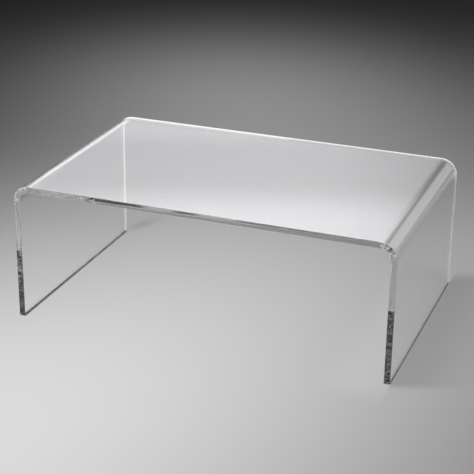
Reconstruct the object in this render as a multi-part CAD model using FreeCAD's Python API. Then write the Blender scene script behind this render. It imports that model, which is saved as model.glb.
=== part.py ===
"""Waterfall coffee table: one sheet of clear cast acrylic, heated and bent along two straight lines into an
upside-down U, standing on four clear bumpers.

Millimetres. X runs along the table's length, Y across it, +Z up. The origin is on the floor under the middle
of the table. The table is the same at both ends, and the same at the front and the back.
"""
import FreeCAD, Part

import math
import os

Vector = FreeCAD.Vector

# Table, over all
table_length = 1118.0
sheet_width = 698.0  # front to back, along the flat parts of the sheet
table_height = 406.0

# Sheet
sheet_thickness = 18.0
bend_inside_radius = 22.0
arris_radius = 1.2  # polished rounding along the sheet's long edges
foot_arris_radius = 0.8  # polished rounding round the lower edge of each leg

# A hot sheet is squeezed along the inside of a bend and stretched along its outside. So its edge spreads on
# the inside and draws in on the outside, most halfway round the bend and not at all where the bend ends.
bend_edge_spread = 0.9
bend_edge_draw = 0.7
bend_sections = 9

# Bumpers
bumper_diameter = 12.7
bumper_height = 1.6
bumper_taper = 0.4  # how much smaller the radius is at the floor, before the bevel
bumper_rim_bevel = 0.5
bumper_from_sheet_edge = 24.0  # centre of a bumper, in from the front or back edge

touching = 1e-4  # an edge this near a level lies on it

# Worked out from the values above
foot_level = bumper_height
bend_outside_radius = bend_inside_radius + sheet_thickness
bend_centre_x = table_length / 2 - bend_outside_radius
bend_centre_z = table_height - bend_outside_radius
foot_middle_x = table_length / 2 - sheet_thickness / 2


def rounded_outline(corners, radius):
    """A closed wire through straight sides, with an arc of the given radius in place of each corner."""
    arcs = []
    for before, corner, after in zip(corners[-1:] + corners[:-1], corners, corners[1:] + corners[:1]):
        back = (before - corner).normalize()
        on = (after - corner).normalize()
        half_angle = back.getAngle(on) / 2
        to_tangent = radius / math.tan(half_angle)
        centre = corner + (back + on).normalize() * (radius / math.sin(half_angle))
        middle = centre + (corner - centre).normalize() * radius
        arcs.append((corner + back * to_tangent, middle, corner + on * to_tangent))
    edges = []
    for (start, middle, end), (next_start, _, _) in zip(arcs, arcs[1:] + arcs[:1]):
        edges.append(Part.Arc(start, middle, end).toShape())
        edges.append(Part.LineSegment(end, next_start).toShape())
    return Part.Wire(edges)


def sheet_section(inside, outward, spread=0.0, draw=0.0):
    """The sheet's cross-section. inside is the point midway along its inner face, and outward is the direction
    from there to the outer face."""
    outside = inside + outward * sheet_thickness
    inner_half = sheet_width / 2 + spread
    outer_half = sheet_width / 2 - draw
    corners = [
        inside + Vector(0, -inner_half, 0),
        inside + Vector(0, inner_half, 0),
        outside + Vector(0, outer_half, 0),
        outside + Vector(0, -outer_half, 0),
    ]
    return rounded_outline(corners, arris_radius)


def bend_section(side, angle):
    """The section at an angle round the bend, from 0 at the leg to a quarter turn at the top."""
    outward = Vector(side * math.cos(angle), 0, math.sin(angle))
    centre = Vector(side * bend_centre_x, 0, bend_centre_z)
    share = math.sin(2 * angle) ** 2
    inside = centre + outward * bend_inside_radius
    return sheet_section(inside, outward, bend_edge_spread * share, bend_edge_draw * share)


def bend(side):
    """A quarter turn of the sheet, with its spread and drawn-in edges."""
    quarter_turn = math.pi / 2
    angles = [quarter_turn * i / (bend_sections - 1) for i in range(bend_sections)]
    return Part.makeLoft([bend_section(side, angle) for angle in angles], True, False)


def flat_run(section, run):
    """A flat stretch of the sheet, from a section along a straight run."""
    return Part.Face(section).extrude(run)


def round_feet(sheet):
    """The sheet with the arrises round the lower edge of each leg rounded."""
    at_foot = [edge for edge in sheet.Edges if edge.BoundBox.ZMax - foot_level < touching]
    return sheet.makeFillet(foot_arris_radius, at_foot)


def acrylic_sheet():
    """The whole sheet: the flat top, a bend at each end of it, and a leg down from each bend."""
    top = flat_run(bend_section(-1, math.pi / 2), Vector(2 * bend_centre_x, 0, 0))
    bends = [bend(side) for side in (-1, 1)]
    legs = [flat_run(bend_section(side, 0), Vector(0, 0, foot_level - bend_centre_z)) for side in (-1, 1)]
    sheet = top.multiFuse(bends + legs).removeSplitter()
    return round_feet(sheet).Solids[0]


def foot_bumper(x, y):
    """A low disc, wider where it sticks to the leg than at the floor, with a bevelled rim."""
    top_radius = bumper_diameter / 2
    floor_radius = top_radius - bumper_taper
    profile = Part.makePolygon([
        Vector(0, 0, 0),
        Vector(floor_radius, 0, 0),
        Vector(top_radius, 0, bumper_height),
        Vector(0, 0, bumper_height),
        Vector(0, 0, 0),
    ])
    disc = Part.Face(profile).revolve(Vector(0, 0, 0), Vector(0, 0, 1), 360)
    rim = [edge for edge in disc.Edges if edge.BoundBox.ZMax < touching]
    disc = disc.makeChamfer(bumper_rim_bevel, rim)
    disc.translate(Vector(x, y, 0))
    return disc.Solids[0]


def build():
    parts = {"acrylic_sheet": acrylic_sheet()}
    bumper_y = sheet_width / 2 - bumper_from_sheet_edge
    for side, x in (("left", -foot_middle_x), ("right", foot_middle_x)):
        for end, y in (("front", -bumper_y), ("rear", bumper_y)):
            parts[f"foot_bumper_{side}_{end}"] = foot_bumper(x, y)
    return parts


os.makedirs("parts", exist_ok=True)
for name, solid in build().items():
    solid.exportStep(f"parts/{name}.step")
    print(f"{name}: {solid.Volume:.1f} cubic mm, valid {solid.isValid()}")
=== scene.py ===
"""Clear waterfall coffee table: one bent sheet of cast acrylic on four clear bumpers, in a grey studio."""

import math

import bpy
import mathutils
import numpy as np
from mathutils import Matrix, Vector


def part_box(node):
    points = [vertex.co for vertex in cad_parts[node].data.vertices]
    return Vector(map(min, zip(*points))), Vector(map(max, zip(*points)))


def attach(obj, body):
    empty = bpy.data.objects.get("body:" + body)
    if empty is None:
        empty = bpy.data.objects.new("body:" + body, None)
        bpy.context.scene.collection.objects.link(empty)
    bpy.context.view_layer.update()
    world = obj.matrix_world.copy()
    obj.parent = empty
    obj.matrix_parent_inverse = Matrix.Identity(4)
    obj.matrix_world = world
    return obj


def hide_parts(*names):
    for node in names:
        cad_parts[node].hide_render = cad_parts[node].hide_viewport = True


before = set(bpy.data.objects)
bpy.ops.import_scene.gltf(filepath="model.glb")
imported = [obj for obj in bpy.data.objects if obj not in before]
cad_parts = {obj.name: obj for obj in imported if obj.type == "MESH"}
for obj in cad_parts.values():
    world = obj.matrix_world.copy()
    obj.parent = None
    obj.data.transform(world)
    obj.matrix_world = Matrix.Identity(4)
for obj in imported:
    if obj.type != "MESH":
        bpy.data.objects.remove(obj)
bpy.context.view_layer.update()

MM = 0.001
SHEET = "acrylic_sheet"
BUMPERS = [name for name in sorted(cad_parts) if name.startswith("foot_bumper")]

# Sheet, in metres. The overall sizes come from the frame.
low, high = (np.array(corner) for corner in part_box(SHEET))
THICKNESS = 18 * MM
HALF_WIDTH = 349 * MM
ARRIS = 1.2 * MM
FOOT_ARRIS = 0.8 * MM
EDGE_SPREAD = 0.89 * MM
EDGE_DRAW = 0.7 * MM
BEND_LENGTH = 78 * MM  # how much of the sheet's inside face is curved
BEND_EASE = 45 * MM  # over which the curvature grows from nothing, at each end of a bend


def sines(*degrees):
    """The sine of each angle."""
    return tuple(math.sin(math.radians(angle)) for angle in degrees)


# ---------------------------------------------------------------- shader maths

class Wire:
    """A shader socket that can be used in a sum, product or power."""

    def __init__(self, nodes, socket):
        self.nodes = nodes
        self.socket = socket

    def _maths(self, operation, *values):
        return self.nodes.add("ShaderNodeMath", {"operation": operation}, dict(enumerate(values)))

    def __add__(self, other):
        return self._maths("ADD", self, other)

    def __sub__(self, other):
        return self._maths("SUBTRACT", self, other)

    def __mul__(self, other):
        return self._maths("MULTIPLY", self, other)

    def __truediv__(self, other):
        return self._maths("DIVIDE", self, other)

    def __pow__(self, other):
        return self._maths("POWER", self, other)

    def __radd__(self, other):
        return self._maths("ADD", other, self)

    def __rsub__(self, other):
        return self._maths("SUBTRACT", other, self)

    def __rmul__(self, other):
        return self._maths("MULTIPLY", other, self)

    def __rtruediv__(self, other):
        return self._maths("DIVIDE", other, self)

    def __neg__(self):
        return self * -1.0

    def exp(self):
        return self._maths("EXPONENT", self)

    def smooth(self, start, end):
        """0 up to start, 1 from end, and a smooth step between."""
        settings = {"interpolation_type": "SMOOTHSTEP"}
        return self.nodes.add("ShaderNodeMapRange", settings, {0: self, 1: start, 2: end})

    def window(self, rise, fall):
        """0 outside, 1 inside, with a smooth step over each of the two spans."""
        return self.smooth(*rise) * (1 - self.smooth(*fall))

    def above(self, start, end):
        """smooth for a sine, with the span in degrees."""
        return self.smooth(*sines(start, end))

    def between(self, rise, fall):
        """window for a sine, with the two spans in degrees."""
        return self.window(sines(*rise), sines(*fall))


class Nodes:
    """The node tree of one material or world."""

    def __init__(self, tree):
        self.tree = tree
        tree.nodes.clear()

    def add(self, kind, settings=(), sockets=(), output=0):
        """Adds a node, sets its settings and then its sockets, and returns one output."""
        node = self.tree.nodes.new(kind)
        for name, value in dict(settings).items():
            setattr(node, name, value)
        for name, value in dict(sockets).items():
            socket = node.inputs[name]
            if isinstance(value, Wire):
                self.tree.links.new(value.socket, socket)
            else:
                socket.default_value = value
        return Wire(self, node.outputs[output]) if node.outputs else node

    def place(self):
        """The point being shaded, on the piece's own coordinates, in metres."""
        return self.add("ShaderNodeTexCoord", output="Object")

    def attribute(self, name, output="Fac"):
        """A value stored at the piece's points."""
        return self.add("ShaderNodeAttribute", {"attribute_name": name}, output=output)

    def axes(self, vector):
        """The three numbers of a vector."""
        node = self.add("ShaderNodeSeparateXYZ", sockets={0: vector}).socket.node
        return [Wire(self, output) for output in node.outputs]

    def grain(self, vector, lumps, detail=2.0, rough=0.5):
        """Smooth noise about 0.5, with so many lumps to a metre along each axis of a vector."""
        stretched = self.add("ShaderNodeVectorMath", {"operation": "MULTIPLY"}, {0: vector, 1: lumps})
        sockets = {"Vector": stretched, "Scale": 1.0, "Detail": detail, "Roughness": rough}
        return self.add("ShaderNodeTexNoise", {}, sockets)

    def rays(self, *names):
        """Outputs of the Light Path node, each 1 for its own kind of ray."""
        node = self.add("ShaderNodeLightPath").socket.node
        return [Wire(self, node.outputs[name]) for name in names]

    def colour(self, factor, first, second):
        """first where factor is 0, second where it is 1."""
        settings = {"data_type": "RGBA"}
        return self.add("ShaderNodeMix", settings, {0: factor, 6: first, 7: second}, output=2)

    def tinted(self, value, red, green, blue):
        """A colour that is a value times a tint."""
        return self.add("ShaderNodeCombineXYZ", sockets={0: value * red, 1: value * green, 2: value * blue})


def new_material(name):
    """A material with an empty node tree."""
    material = bpy.data.materials.new(name)
    material.use_nodes = True
    return material, Nodes(material.node_tree)


# ---------------------------------------------------------------- meshes

def mesh_piece(name, points, faces, normals, material):
    """A piece from arrays of points, faces and the exact normal at each point."""
    mesh = bpy.data.meshes.new(name)
    mesh.from_pydata(points.tolist(), [], faces)
    mesh.shade_smooth()
    mesh.normals_split_custom_set_from_vertices(normals.tolist())
    mesh.materials.append(material)
    mesh.update()
    piece = bpy.data.objects.new(name, mesh)
    bpy.context.scene.collection.objects.link(piece)
    return piece


def tube_faces(rows, columns):
    """Faces of a closed skin: a grid of points whose columns go right round, with a flat face at each end."""
    row = np.arange(rows - 1)[:, None] * columns
    column = np.arange(columns)[None, :]
    after = (column + 1) % columns
    corners = [row + column, row + after, row + columns + after, row + columns + column]
    sides = np.stack(corners, -1).reshape(-1, 4).tolist()
    first = list(range(columns))
    last = list(range((rows - 1) * columns, rows * columns))
    return sides + [first[::-1], last]


def store(piece, name, kind, values):
    """Keeps values at a piece's points, for its material to read."""
    field = "vector" if kind == "FLOAT_VECTOR" else "value"
    attribute = piece.data.attributes.new(name, kind, "POINT")
    attribute.data.foreach_set(field, np.ravel(values).astype(np.float32))


# ---------------------------------------------------------------- sheet

FOOT_ROWS = 6
LEG_ROWS = 15
BEND_ROWS = 91
TOP_ROWS = 46
FACE_POINTS = 10
ARC_POINTS = 7
END_POINTS = 5
FINE_STEPS = 20  # steps of a bend's running sums for each of its rows
BESIDE_ARRIS = 0.3 * MM  # gap between an arris and the next point on the face
END_MARGIN = 0.03  # share of an end face between its arris and its first point


def smooth_step(t):
    """3 t^2 - 2 t^3, held at 0 below 0 and at 1 above 1."""
    t = np.clip(t, 0, 1)
    return t * t * (3 - 2 * t)


def running_sum(values, step):
    """The area under the values so far, by the trapezium rule."""
    return np.concatenate([[0.0], np.cumsum((values[1:] + values[:-1]) / 2) * step])


def eased_bend():
    """The inside face of the left bend, from the leg up to the top.

    The curvature is a smooth step up over the easing length times a smooth step down over the last of it,
    scaled to turn the sheet a quarter of a turn. The angle is the running sum of the curvature, and the place
    is the running sum of the direction (sin angle, cos angle)."""
    distance = np.linspace(0, BEND_LENGTH, (BEND_ROWS - 1) * FINE_STEPS + 1)
    step = distance[1]
    curvature = smooth_step(distance / BEND_EASE) * smooth_step((BEND_LENGTH - distance) / BEND_EASE)
    curvature *= math.pi / 2 / running_sum(curvature, step)[-1]
    angle = running_sum(curvature, step)
    x = running_sum(np.sin(angle), step)
    z = running_sum(np.cos(angle), step)
    return [values[::FINE_STEPS] for values in (x, z, angle, curvature)]


def sheet_path():
    """The middle line of the sheet's inside face, from the left foot over the top to the right foot.

    Columns: x, z, the angle turned so far (0 on the left leg, half a turn on the right one), the curvature,
    the inset of a foot's rounding and the sine of the way round it. A foot follows a quarter circle of its
    arris."""
    bend_x, bend_z, bend_angle, bend_curvature = eased_bend()
    reach = bend_x[-1]
    leg_x = low[0] + THICKNESS
    bend_low = high[2] - THICKNESS - reach
    turn = np.linspace(0, math.pi / 2, FOOT_ROWS)
    rise = np.linspace(low[2] + FOOT_ARRIS, bend_low, LEG_ROWS)[1:-1]
    across = np.linspace(leg_x + reach, -leg_x - reach, TOP_ROWS)[1:-1]
    foot_z = low[2] + FOOT_ARRIS * (1 - np.cos(turn))
    foot_inset = FOOT_ARRIS * (1 - np.sin(turn))
    runs = [
        (leg_x, foot_z, 0, 0, foot_inset, np.sin(turn)),
        (leg_x, rise, 0, 0, 0, 1),
        (leg_x + bend_x, bend_low + bend_z, bend_angle, bend_curvature, 0, 1),
    ]
    left = np.concatenate([np.stack(np.broadcast_arrays(*run), 1) for run in runs])
    top = np.stack(np.broadcast_arrays(across, high[2] - THICKNESS, math.pi / 2, 0, 0, 1), 1)
    right = left[::-1] * np.array([-1, 1, -1, 1, 1, 1]) + np.array([0, 0, math.pi, 0, 0, 0])
    return np.concatenate([left, top, right]).T


def outline(inset, share):
    """Half of the sheet's outline across its thickness at each station, from the middle of the inside face
    round the edge to the middle of the outside face.

    The end face leans by the spread and draw of a bend times its share. Each corner is an arc of the arris
    radius less the inset, tangent to both faces. Returns y, the distance from the inside face, the two parts
    of the normal, and a mark for each column that is 0 on a face, 0.5 on the end face and 1 on an arris."""
    inset, share = inset[:, None], share[:, None]
    lean = np.arctan((EDGE_SPREAD + EDGE_DRAW) * share / THICKNESS)
    at_inside = HALF_WIDTH + EDGE_SPREAD * share
    inner_n, outer_n = ARRIS, THICKNESS - ARRIS
    inner_y = at_inside - ARRIS * (1 + np.sin(lean)) / np.cos(lean)
    outer_y = at_inside - (ARRIS + outer_n * np.sin(lean)) / np.cos(lean)
    part = np.linspace(0, 1, ARC_POINTS)

    def corner(y, n, start, end):
        turn = start + (end - start) * part
        normal = np.cos(turn), np.sin(turn)
        return y + (ARRIS - inset) * normal[0], n + (ARRIS - inset) * normal[1], *normal

    inner = corner(inner_y, inner_n, -math.pi / 2, lean)
    outer = corner(outer_y, outer_n, lean, math.pi / 2)
    part = np.linspace(0, 1, FACE_POINTS + 1)[1:]
    inner_face = (inner[0][:, :1] - BESIDE_ARRIS) * part, inset, 0.0, -1.0
    outer_face = (outer[0][:, -1:] - BESIDE_ARRIS) * part[::-1], THICKNESS - inset, 0.0, 1.0
    part = np.linspace(END_MARGIN, 1 - END_MARGIN, END_POINTS)
    along = [a[:, -1:] + (b[:, :1] - a[:, -1:]) * part for a, b in zip(inner[:2], outer[:2])]
    end_face = *along, np.cos(lean), np.sin(lean)
    runs = [np.broadcast_arrays(*run) for run in (inner_face, inner, end_face, outer, outer_face)]
    marks = np.repeat([0, 1, 0.5, 1, 0], [run[0].shape[1] for run in runs])
    return [np.concatenate(columns, 1) for columns in zip(*runs)] + [marks]


def make_sheet(material):
    """The outline carried along the path.

    A point is the inside point plus its distance from the inside face along the outward direction, which is
    (-cos angle, sin angle). A foot's rounding insets the outline and turns its normals down. In a bend the
    end face drifts along the path, which tips its normal back by the rate of the drift at that depth."""
    x, z, angle, curvature, inset, sine = sheet_path()
    y, n, ny, nn, marks = outline(inset, np.sin(2 * angle) ** 2)
    halves = (y, -1), (n, 1), (ny, -1), (nn, 1)
    y, n, ny, nn = (np.concatenate([half, half[:, ::-1] * mirror], 1) for half, mirror in halves)
    marks = np.broadcast_to(np.concatenate([marks, marks[::-1]]), y.shape)
    travel = np.concatenate([[0.0], np.cumsum(np.hypot(np.diff(x), np.diff(z)))])
    x, z, angle, curvature, sine, travel = (a[:, None] for a in (x, z, angle, curvature, sine, travel))
    out_x, out_z = -np.cos(angle), np.sin(angle)
    spread = EDGE_SPREAD - (EDGE_SPREAD + EDGE_DRAW) * n / THICKNESS
    drift = np.sign(y) * spread * 2 * np.sin(4 * angle) * curvature
    tip = -ny * drift / (1 + curvature * n)
    down = np.sqrt(np.clip(1 - sine * sine, 0, 1))
    points = np.stack([x + n * out_x, y, z + n * out_z], -1)
    normal_x = (nn * out_x + tip * out_z) * sine
    normal_z = (nn * out_z - tip * out_x) * sine - down
    normals = np.stack([normal_x, ny * sine, normal_z], -1)
    faces = tube_faces(*y.shape)
    piece = mesh_piece("bent_sheet", points.reshape(-1, 3), faces, normals.reshape(-1, 3), material)
    store(piece, "edge_kind", "FLOAT", marks)
    store(piece, "bend_share", "FLOAT", np.broadcast_to(curvature / curvature.max(), y.shape))
    store(piece, "sheet_place", "FLOAT_VECTOR", np.stack(np.broadcast_arrays(travel, y, n), -1))
    return piece


# ---------------------------------------------------------------- bumpers

BUMPER_TURNS = 64
RIM_POINTS = 7
SIDE_POINTS = 4
FLAT_RINGS = (0.55, 0.85)  # rings of points on the two flat faces, as shares of the radius at the floor
BUMPER_ROUND = 0.35 * MM
BUMPER_TOP_ROUND = 0.08 * MM
BUMPER_TAPER = 0.4 * MM


def make_bumper(name, node, material):
    """A low disc carried round its own axis.

    Its profile runs out along the floor, round a quarter-ellipse rim, up the tapering side and round a small
    upper rim to the sticky face."""
    bottom, top = (np.array(corner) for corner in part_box(node))
    middle = (bottom + top) / 2
    radius = (top[0] - bottom[0]) / 2
    height = top[2] - bottom[2]
    turn = np.linspace(0, math.pi / 2, RIM_POINTS)
    floor_radius = radius - BUMPER_TAPER
    low_r = floor_radius - BUMPER_ROUND + BUMPER_ROUND * np.sin(turn)
    low_z = BUMPER_ROUND * (1 - np.cos(turn))
    side_z = np.linspace(BUMPER_ROUND, height - BUMPER_TOP_ROUND, SIDE_POINTS)[1:]
    side_height = height - BUMPER_ROUND - BUMPER_TOP_ROUND
    side_r = floor_radius + (radius - floor_radius) * (side_z - BUMPER_ROUND) / side_height
    high_r = radius - BUMPER_TOP_ROUND * (1 - np.cos(turn[1:]))
    high_z = height - BUMPER_TOP_ROUND + BUMPER_TOP_ROUND * np.sin(turn[1:])
    flat_r = np.array(FLAT_RINGS) * floor_radius
    r = np.concatenate([flat_r, low_r, side_r, high_r, flat_r[::-1]])[:, None]
    z = np.concatenate([0 * flat_r, low_z, side_z, high_z, 0 * flat_r + height])[:, None]
    slope = np.arctan2(np.gradient(r[:, 0]), -np.gradient(z[:, 0]))[:, None]
    around = np.linspace(0, 2 * math.pi, BUMPER_TURNS, endpoint=False)[None, :]
    x = middle[0] + r * np.cos(around)
    y = middle[1] + r * np.sin(around)
    points = np.stack(np.broadcast_arrays(x, y, bottom[2] + z), -1)
    out = -np.cos(slope)
    normals = np.stack(np.broadcast_arrays(out * np.cos(around), out * np.sin(around), -np.sin(slope)), -1)
    faces = tube_faces(len(r), BUMPER_TURNS)
    return mesh_piece(name, points.reshape(-1, 3), faces, normals.reshape(-1, 3), material)


# ---------------------------------------------------------------- materials

ACRYLIC_IOR = 1.49
BUMPER_IOR = 1.5
FAINT_GLOSS = 0.1  # specular level of a scraped or sawn surface

# Colours
CLEAN = (0.996, 1, 1, 1)
SMEARED = (0.98, 0.985, 0.985, 1)
SCRAPED_GREY = (0.80, 0.81, 0.82, 1)
SCRAPED_AND_HIGHLIGHT_WHITE = (1, 1, 1, 1)
SEEN_THROUGH = (0.992, 0.996, 0.996, 1)
BUMPER_DEEP = (0.86, 0.87, 0.86, 1)
BUMPER_PALE = (0.94, 0.95, 0.94, 1)

# Where a surface's mark leaves a face, leaves an end face and is well onto an arris
OFF_FACE = (0.2, 0.4)
OFF_END_FACE = (0.6, 0.8)
ON_ARRIS = (0.75, 0.95)
IN_BEND = (0.1, 0.5)  # share of the sharpest curvature

# Lumps to a metre along x, y and z
SMEAR_GRAIN = (7, 11, 9)
SCRAPE_GRAIN = (240, 240, 9)
FOOT_MOTTLE_GRAIN = (140, 28, 0)
HAZE_GRAIN = (900, 900, 900)
PIT_GRAIN = (2600, 2600, 2600)

# Lumps to a metre along the sheet, across it and through its thickness
BUFFED_GRAIN = (6, 0, 700)
CUT_GRAIN = (110, 0, 60)
LUMP_GRAIN = (35, 0, 160)
DRAW_GRAIN = (120, 9, 0)

# Where a grain starts to show, and shows in full
SMEARS = (0.5, 0.75)
BUFFING = (0.35, 0.7)
PALE_CUTS = (0.3, 0.5)
ARRIS_NICKS = (0.55, 0.7)
BEND_NICKS = (0.42, 0.52)
BEND_GLINT_SPECKS = (0.5, 0.6)
LEG_SCRAPES_AND_LIGHT = (0.46, 0.60)
FOOT_MOTTLE_PATCHES = (0.45, 0.62)
HAZE = (0.35, 0.65)
PITS = (0.62, 0.74)

# Relief, in millimetres
CUT_HEIGHT = 0.012
LUMP_HEIGHT = 0.03
DRAW_HEIGHT = 0.03
ARRIS_CUT_HEIGHT = 0.05
FRONT_LEAN = 50  # for each metre of depth, which leans the shading of the front end faces by 2.9 degrees
LEAN_FADE = (-0.3, 0.3)

# Roughness
SMEAR_ROUGHNESS = 0.02
BUFFED_ROUGHNESS = 0.06
ARRIS_ROUGHNESS = 0.15
SCRAPED_ROUGHNESS = 0.5
SAWN_ROUGHNESS = 0.7

# Share of a surface that is scraped pale. In the bend specks it is painted glints, on the left leg partly
# painted light, and on the rear edge a painted highlight
PLAIN_ARRIS = 0.08
NICKED_ARRIS = 0.6
NICKED_BEND = 0.7
BEND_PAINTED_GLINTS = 0.5
LEFT_LEG_SCRAPES_AND_LIGHT = 0.35
REAR_HIGHLIGHT_SHARE = 0.97

# Painted highlight on the rear edge, white where it is seen at a slant. It runs over the border of the top
# beside it, which is narrower on the right half.
AT_SLANT = (0.15, 0.35)  # how far it faces away where it starts to whiten, and where it is white
TOP_LEVEL = (0.385, 0.39)
REAR_PART = (0.1, 0.3)
BORDER = 21 * MM
BORDER_FADE = 12 * MM
BORDER_LOSS = 8 * MM
RIGHT_HALF = (0.0, 0.06)
UPPER_DEPTH = (3 * MM, 7 * MM)  # from the inside face. The right half of the top is clear up to here
RIGHT_BEND = (0.50, 0.54)
RIGHT_BEND_LOSS = 0.35

# Left leg's light scrapes, which also paint light on its upper front edge
LEFT_LEG = (-0.545, -0.53)
SCRAPES_FROM = (0.20, 0.23)

# Lower edges of the legs: painted shade, nearly black, with mottled painted light
DARK_FOOT_LEVEL = (1.7 * MM, 2.3 * MM)
FOOT_PAINTED_SHADE = 0.003
FOOT_PAINTED_MOTTLE = 0.13
FOOT_PAINTED_LIGHT_REAR = 0.3  # painted light added towards the rear of the left leg
PALER_FOOT_LEFT = (-0.1, 0.1)
PALER_FOOT_REAR = (-0.25, 0.3)
DARK_FOOT_COVER = 0.995
DARK_FOOT_GAPS = 0.03


def clear_acrylic():
    """Cast acrylic: polished faces with faint smears, buffed end faces, scraped arrises and rippled bends.

    The rear end faces and a border of the top beside them carry a painted highlight: they are pale, and
    whiten where they are seen at a slant. The front end faces lean in their shading. End faces have pale
    specks where they go round a bend, painted in for glints, and light scrapes on the left leg that also
    paint light on its upper front edge. The sawn lower edge of each leg is dull; its dark, mottled colour is
    painted shade with patches of painted light."""
    material, nodes = new_material("clear_acrylic")
    where = nodes.attribute("sheet_place", "Vector")
    kind = nodes.attribute("edge_kind")
    bent = nodes.attribute("bend_share")
    x, y, z = nodes.axes(nodes.place())
    depth = nodes.axes(where)[2]
    edge = kind.smooth(*OFF_FACE)
    arris = kind.smooth(*ON_ARRIS)
    end_face = kind.window(OFF_FACE, OFF_END_FACE)
    turning = bent.smooth(*IN_BEND)

    # Painted highlight: the rear end faces and a border of the top beside them turn pale, and white where
    # seen at a slant
    painted_sheen_at_slant = nodes.add("ShaderNodeLayerWeight", {}, {"Blend": 0.5}, output="Facing").smooth(*AT_SLANT)
    on_top = z.smooth(*TOP_LEVEL)
    right = x.smooth(*RIGHT_HALF) * on_top
    reach = y - HALF_WIDTH + BORDER - BORDER_LOSS * right
    border = (1 - edge) * reach.smooth(0, BORDER_FADE) * on_top
    whole = 1 - right * (1 - depth.smooth(*UPPER_DEPTH))
    rear = (edge * y.smooth(*REAR_PART) + border) * whole * (1 - RIGHT_BEND_LOSS * x.smooth(*RIGHT_BEND))
    painted_rear_highlight = rear * painted_sheen_at_slant

    smears = nodes.grain(nodes.place(), SMEAR_GRAIN, 4.0, 0.6).smooth(*SMEARS)
    buffed = nodes.grain(where, BUFFED_GRAIN, 3.0, 0.6).smooth(*BUFFING)
    roughness = smears * SMEAR_ROUGHNESS + end_face * buffed * BUFFED_ROUGHNESS + arris * ARRIS_ROUGHNESS

    cuts = nodes.grain(where, CUT_GRAIN, 3.0, 0.55)
    lumps = nodes.grain(where, LUMP_GRAIN, 1.0)
    draw_lines = nodes.grain(where, DRAW_GRAIN)
    height = end_face * (cuts * CUT_HEIGHT + lumps * LUMP_HEIGHT) + bent * draw_lines * DRAW_HEIGHT
    height = height + arris * cuts * ARRIS_CUT_HEIGHT
    relief = nodes.add("ShaderNodeBump", {}, {"Strength": 1.0, "Distance": MM, "Height": height})
    normal = nodes.add("ShaderNodeBump", {}, {
        "Strength": 1 - y.smooth(*LEAN_FADE), "Distance": MM, "Height": depth * FRONT_LEAN, "Normal": relief})

    glass = nodes.add("ShaderNodeBsdfPrincipled", {}, {
        "Base Color": nodes.colour(smears, CLEAN, SMEARED), "Roughness": roughness, "IOR": ACRYLIC_IOR,
        "Transmission Weight": 1.0, "Normal": normal})
    pale_and_painted_light = nodes.colour(cuts.smooth(*PALE_CUTS) + rear, SCRAPED_GREY, SCRAPED_AND_HIGHLIGHT_WHITE)
    scraped_and_painted_light = nodes.add("ShaderNodeBsdfPrincipled", {}, {
        "Base Color": pale_and_painted_light, "Roughness": SCRAPED_ROUGHNESS, "IOR": ACRYLIC_IOR,
        "Specular IOR Level": FAINT_GLOSS, "Normal": normal})
    nicks = PLAIN_ARRIS + NICKED_ARRIS * cuts.smooth(*ARRIS_NICKS)
    nicks = nicks + NICKED_BEND * turning * cuts.smooth(*BEND_NICKS)
    # Pale specks on the end faces in the bends: painted glints
    painted_glint_specks = end_face * turning * cuts.smooth(*BEND_GLINT_SPECKS) * BEND_PAINTED_GLINTS
    # Light scrapes on the left leg, partly real scrapes and partly painted light on its upper front edge
    scrapes_and_painted_light = nodes.grain(nodes.place(), SCRAPE_GRAIN, 2.0, 0.6).smooth(*LEG_SCRAPES_AND_LIGHT)
    scrapes_and_painted_light = scrapes_and_painted_light * end_face * (1 - x.smooth(*LEFT_LEG)) * z.smooth(*SCRAPES_FROM) * LEFT_LEG_SCRAPES_AND_LIGHT
    # Scraped arrises are real wear; the specks, the left leg's scrapes and the rear highlight are painted
    # light
    worn_and_painted_light = (arris * nicks + painted_glint_specks + scrapes_and_painted_light) * (1 - painted_rear_highlight) + painted_rear_highlight * REAR_HIGHLIGHT_SHARE
    body = nodes.add("ShaderNodeMixShader", {}, {0: worn_and_painted_light, 1: glass, 2: scraped_and_painted_light})
    diffuse, shadow = nodes.rays("Is Diffuse Ray", "Is Shadow Ray")
    through = nodes.add("ShaderNodeBsdfTransparent", {}, {"Color": SEEN_THROUGH})
    body = nodes.add("ShaderNodeMixShader", {}, {0: diffuse, 1: body, 2: through})
    body = nodes.add("ShaderNodeMixShader", {}, {0: shadow, 1: body, 2: through})

    # Painted shade: the lower edge of each leg is nearly black, with mottled patches of painted light, paler
    # towards the rear of the left leg
    foot_mottle = nodes.grain(nodes.place(), FOOT_MOTTLE_GRAIN, 3.0, 0.65)
    paler = (1 - x.smooth(*PALER_FOOT_LEFT)) * y.smooth(*PALER_FOOT_REAR) * FOOT_PAINTED_LIGHT_REAR
    dark = nodes.tinted(FOOT_PAINTED_SHADE + foot_mottle.smooth(*FOOT_MOTTLE_PATCHES) * (FOOT_PAINTED_MOTTLE + paler), 1.0, 1.0, 0.98)
    painted_dark_foot = nodes.add("ShaderNodeBsdfPrincipled", {}, {
        "Base Color": dark, "Roughness": SAWN_ROUGHNESS, "Specular IOR Level": FAINT_GLOSS})
    foot = (1 - z.smooth(*DARK_FOOT_LEVEL)) * (DARK_FOOT_COVER - DARK_FOOT_GAPS * foot_mottle)
    sheet_skin = nodes.add("ShaderNodeMixShader", {}, {0: foot, 1: body, 2: painted_dark_foot})
    nodes.add("ShaderNodeOutputMaterial", {}, {"Surface": sheet_skin})
    return material


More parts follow.
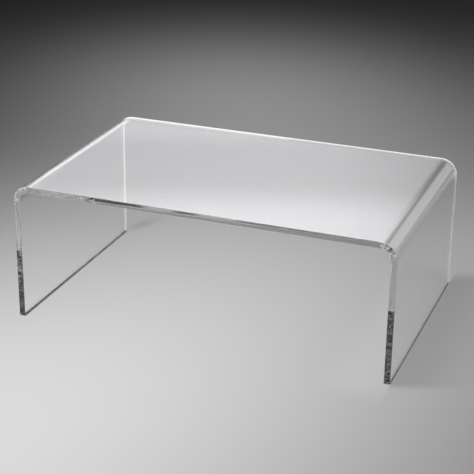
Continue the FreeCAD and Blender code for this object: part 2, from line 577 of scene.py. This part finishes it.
def clear_bumper():
    """Soft clear polyurethane: a slightly hazy skin with a few fine pits."""
    material, nodes = new_material("clear_bumper")
    haze = nodes.grain(nodes.place(), HAZE_GRAIN, 3.0, 0.6)
    pits = nodes.grain(nodes.place(), PIT_GRAIN, 1.0).smooth(*PITS)
    normal = nodes.add("ShaderNodeBump", {}, {"Strength": 0.4, "Distance": 0.05 * MM, "Height": haze - pits})
    skin = nodes.colour(haze.smooth(*HAZE), BUMPER_DEEP, BUMPER_PALE)
    body = nodes.add("ShaderNodeBsdfPrincipled", {}, {
        "Base Color": skin, "Roughness": 0.18 + haze * 0.2 + pits * 0.2, "IOR": BUMPER_IOR,
        "Transmission Weight": 0.9, "Normal": normal})
    nodes.add("ShaderNodeOutputMaterial", {}, {"Surface": body})
    return material


# ---------------------------------------------------------------- studio

PAINTED_LIGHT_POOLS = (
    # painted light, or painted shadow where the strength is less than 0: strength, middle x and y, half
    # widths, turn
    (0.199, -0.756, 1.963, 0.979, 1.088, 0.427),
    (0.709, -0.399, -1.074, 2.092, 1.243, 1.231),
    (0.55, 1.35, 1.9, 1.6, 0.45, 1.78),
    (0.50, 3.2, 5.2, 1.7, 1.4, 1.0),
    (0.014, 0.0, 0.4, 1.3, 0.55, 0.0),
    # painted shadow of the rear left leg's edge, reaching back from its foot
    (-0.080, -0.520, 0.418, 0.075, 0.028, 1.24),
    # painted light on the paper behind the right leg
    (0.045, 0.75, 0.75, 0.40, 0.45, 0.0),
)
FAR_PAPER = 0.014
FLOOR_SIZE = 30.0

# Beside the right leg a painted shadow lies on the paper's outer side, and a little painted light on its
# inner side
LEG_OUTSIDE = (0.556, 0.566)
LEG_PAINTED_SHADOW = 0.27
PAINTED_SHADOW_FADE = (0.56, 0.80)
PAINTED_SHADOW_SLANT = 0.375  # how far it lies back for each metre to the right
PAINTED_SHADOW_ENDS = ((-0.39, -0.335), (0.36, 0.46))
LEG_PAINTED_LIGHT = 0.12
PAINTED_LIGHT_FADE = (0.33, 0.5)
PAINTED_LIGHT_ENDS = ((-0.48, -0.36), (0.25, 0.45))


def floor_material():
    """Grey paper, with soft pools of light painted into its colour.

    A pool is its strength times exp(-(a*a + b*b)), with a and b the distances along its turned axes over its
    half widths. The sum of the pools is lowered outside the right leg, a painted shadow, and raised inside
    it, a painted light."""
    material, nodes = new_material("floor_paper_painted_light")
    x, y, _ = nodes.axes(nodes.place())
    painted_light_and_shade_grey = FAR_PAPER
    # Each pool adds painted light to the paper's grey, or painted shadow where its strength is below 0
    for strength, middle_x, middle_y, wide, deep, turn in PAINTED_LIGHT_POOLS:
        dx, dy = x - middle_x, y - middle_y
        a = (dx * math.cos(turn) + dy * math.sin(turn)) / wide
        b = (dy * math.cos(turn) - dx * math.sin(turn)) / deep
        painted_light_and_shade_grey = painted_light_and_shade_grey + (-(a * a + b * b)).exp() * strength
    # Painted shadow outside the right leg, and painted light (glow) inside it
    outside = x.smooth(*LEG_OUTSIDE)
    along = y - (x - PAINTED_SHADOW_FADE[0]) * PAINTED_SHADOW_SLANT
    painted_shadow = outside * (1 - x.smooth(*PAINTED_SHADOW_FADE)) * along.window(*PAINTED_SHADOW_ENDS)
    glow = (1 - outside) * x.smooth(*PAINTED_LIGHT_FADE) * y.window(*PAINTED_LIGHT_ENDS)
    painted_light_and_shade_grey = painted_light_and_shade_grey * (1 - LEG_PAINTED_SHADOW * painted_shadow + LEG_PAINTED_LIGHT * glow)
    paper = nodes.add("ShaderNodeBsdfPrincipled", {}, {
        "Base Color": nodes.tinted(painted_light_and_shade_grey, 1.004, 1.0, 0.994), "Roughness": 1.0, "Specular IOR Level": 0.0})
    nodes.add("ShaderNodeOutputMaterial", {}, {"Surface": paper})
    return material


def make_floor():
    """One flat square of paper on the ground."""
    size = FLOOR_SIZE
    corners = [(-size, -size, 0), (size, -size, 0), (size, size, 0), (-size, size, 0)]
    mesh = bpy.data.meshes.new("studio_floor")
    mesh.from_pydata(corners, [], [(0, 1, 2, 3)])
    mesh.materials.append(floor_material())
    floor = bpy.data.objects.new("studio_floor", mesh)
    bpy.context.scene.collection.objects.link(floor)


# Lights. A soft edge runs from the first angle of a pair to the second, in degrees. The sides of a light are
# to the left of straight behind, to the right of it for the side card, and to the left of straight in front
# for the key. Other angles are above the horizon, unless a comment says they are to the left.
HORIZON = (-0.5, 0.3)
REAR_CARD = ((3, 17.5), (40, 42))
REAR_CARD_LEVEL = 0.90
REAR_CARD_TOP = (38, 55)
REAR_CARD_LEAN = 0.085
LEAN_FROM = (22.6, 25)
FIRST_STEP = 0.42
FIRST_STEP_AT = (16, 18)
STEP_BACK = 0.21
STEP_BACK_AT = (18.4, 19.2)
LAST_STEP = 0.78
LAST_STEP_AT = (20.4, 22.2)
LAST_STEP_RISE = 0.03  # as a sine, to the right of the ends
RISE_ENDS = (8, 14)  # to the left
SIDE_CARD = ((2, 9), (45, 55))
SIDE_CARD_LEVEL = 0.9
SIDE_CARD_TOP = (24, 27)
LOW_CARD = ((34.2, 34.7), (45, 50))
LOW_CARD_LEVEL = 1.5
LOW_CARD_TOP = (3, 4)
KEY = ((34.5, 36), (74, 84))
KEY_LEVEL = 11.2
KEY_HEIGHT = ((17.5, 19), (34, 37))
TOP_GLOW = 0.95
TOP_GLOW_FROM = (30, 65)
SIDE_GLOW = 0.12
SIDE_GLOW_FROM = (8, 30)
SIDE_GLOW_LOSS = 0.11
GLOW_EVERYWHERE = 0.0125
BEHIND = (0.15, 0.6)  # as sines
IN_FRONT = (0.0, 0.1)
NEVER_ZERO = 1e-6

# How much of the cards is lost on light that has turned several times inside the sheet, and to the camera
TURNS = (3, 6)  # the loss grows from nothing to all of it between these
LOSS = 0.92
CLEARER = 0.27  # this much less is lost in the clearer range, apart from its gap
CLEARER_RANGE = ((20.0, 20.6), (24.2, 24.8))  # to the left
CLEARER_GAP = ((22.0, 22.3), (23.0, 23.3))  # to the left
LEFT_LOSS = 0.06  # this much more is lost to the left of the clearer range
CAMERA_LOSS = 0.92


def make_world():
    """Soft light by direction: cards behind, a glow from above and a key well round to the left of the front.

    A direction's place is the sine of its height above the horizon, and the sine of its angle to the left of
    straight behind, or of straight in front. Each card is a level times a soft window of both. The rear card
    goes up, down and up again in level with height, and leans to the right. The cards and the side glow are
    dimmed for light that has turned several times inside the sheet, less in a narrow range of directions."""
    world = bpy.data.worlds.new("studio_light")
    bpy.context.scene.world = world
    world.use_nodes = True
    nodes = Nodes(world.node_tree)
    x, y, z = nodes.axes(nodes.add("ShaderNodeTexCoord", output="Generated"))
    flat = (x * x + y * y + NEVER_ZERO) ** 0.5
    left = -x / flat
    behind = (y / flat).smooth(*BEHIND)
    in_front = (-y).smooth(*IN_FRONT)
    to_camera, turns = nodes.rays("Is Camera Ray", "Glossy Depth")

    level = REAR_CARD_LEVEL + z.above(*FIRST_STEP_AT) * FIRST_STEP - z.above(*STEP_BACK_AT) * STEP_BACK
    raised = z - (1 - left.above(*RISE_ENDS)) * LAST_STEP_RISE
    level = level + raised.above(*LAST_STEP_AT) * LAST_STEP
    leaning = left + z.above(*LEAN_FROM) * REAR_CARD_LEAN
    rear_card = level * leaning.between(*REAR_CARD) * (1 - left.above(*LOW_CARD[0]))
    rear_card = rear_card * z.between(HORIZON, REAR_CARD_TOP)
    side_card = SIDE_CARD_LEVEL * (-left).between(*SIDE_CARD) * z.between(HORIZON, SIDE_CARD_TOP)
    low_card = LOW_CARD_LEVEL * left.between(*LOW_CARD) * z.between(HORIZON, LOW_CARD_TOP)

    clearer = CLEARER * left.between(*CLEARER_RANGE) * (1 - left.between(*CLEARER_GAP))
    loss = LOSS - clearer + LEFT_LOSS * left.above(*CLEARER_RANGE[1])
    lost = turns.smooth(*TURNS)
    cards = (rear_card + side_card + low_card) * behind * (1 - loss * lost) * (1 - CAMERA_LOSS * to_camera)

    key = left.between(*KEY) * z.between(*KEY_HEIGHT) * in_front * KEY_LEVEL
    side_glow = z.above(*SIDE_GLOW_FROM) * (SIDE_GLOW - SIDE_GLOW_LOSS * lost)
    glow = z.above(*TOP_GLOW_FROM) * TOP_GLOW + side_glow + GLOW_EVERYWHERE
    cool = nodes.tinted(cards, 0.995, 0.985, 1.03)
    plain = nodes.tinted(glow + key, 1.0, 1.0, 1.0)
    total = nodes.add("ShaderNodeVectorMath", {"operation": "ADD"}, {0: cool, 1: plain})
    background = nodes.add("ShaderNodeBackground", {}, {"Color": total, "Strength": 1.0})
    nodes.add("ShaderNodeOutputWorld", {}, {"Surface": background})


# ---------------------------------------------------------------- camera

PICTURE = 474  # pixels along each side
SENSOR = 36  # millimetres
FOCAL_LENGTH = 1372.7  # pixels
CAMERA_TURN = 20.583  # degrees round from straight in front, to the right
CAMERA_HEIGHT = 22.859  # degrees above the horizon
CAMERA_ROLL = 0.763  # degrees
CAMERA_DISTANCE = 4071.1 * MM
LOOKED_AT = np.array([-13.5, 0, 199.5]) * MM


def camera_axes(turn, height, roll):
    """The camera's backward, right and up directions.

    Backward points from the object to the camera, right is level, and both right and up are then rolled."""
    level = math.cos(height)
    back = np.array([math.sin(turn) * level, -math.cos(turn) * level, math.sin(height)])
    right = np.array([math.cos(turn), math.sin(turn), 0.0])
    up = np.cross(back, right)
    c, s = math.cos(roll), math.sin(roll)
    return back, c * right + s * up, c * up - s * right


def make_camera():
    """A plain camera, looking down at the object from the front right."""
    back, right, up = camera_axes(*np.radians([CAMERA_TURN, CAMERA_HEIGHT, CAMERA_ROLL]))
    place = LOOKED_AT + back * CAMERA_DISTANCE
    data = bpy.data.cameras.new("camera")
    data.sensor_width = SENSOR
    data.lens = FOCAL_LENGTH / PICTURE * SENSOR
    camera = bpy.data.objects.new("camera", data)
    bpy.context.scene.collection.objects.link(camera)
    camera.matrix_world = mathutils.Matrix(np.column_stack([right, up, back, place]).tolist()).to_4x4()
    bpy.context.scene.camera = camera


# ---------------------------------------------------------------- object

BOUNCES = 40  # light turns many times inside the sheet before it comes out
CLEAR_BOUNCES = 16

make_camera()
make_world()
make_floor()
sheet = make_sheet(clear_acrylic())
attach(sheet, "root")
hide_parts(SHEET)
bumper_material = clear_bumper()
for node in BUMPERS:
    bumper = make_bumper(node.replace("foot_", "round_"), node, bumper_material)
    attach(bumper, "root")
    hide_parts(node)

scene = bpy.context.scene
scene.view_settings.view_transform = "Standard"
scene.cycles.max_bounces = BOUNCES
scene.cycles.glossy_bounces = BOUNCES
scene.cycles.transmission_bounces = BOUNCES
scene.cycles.transparent_max_bounces = CLEAR_BOUNCES
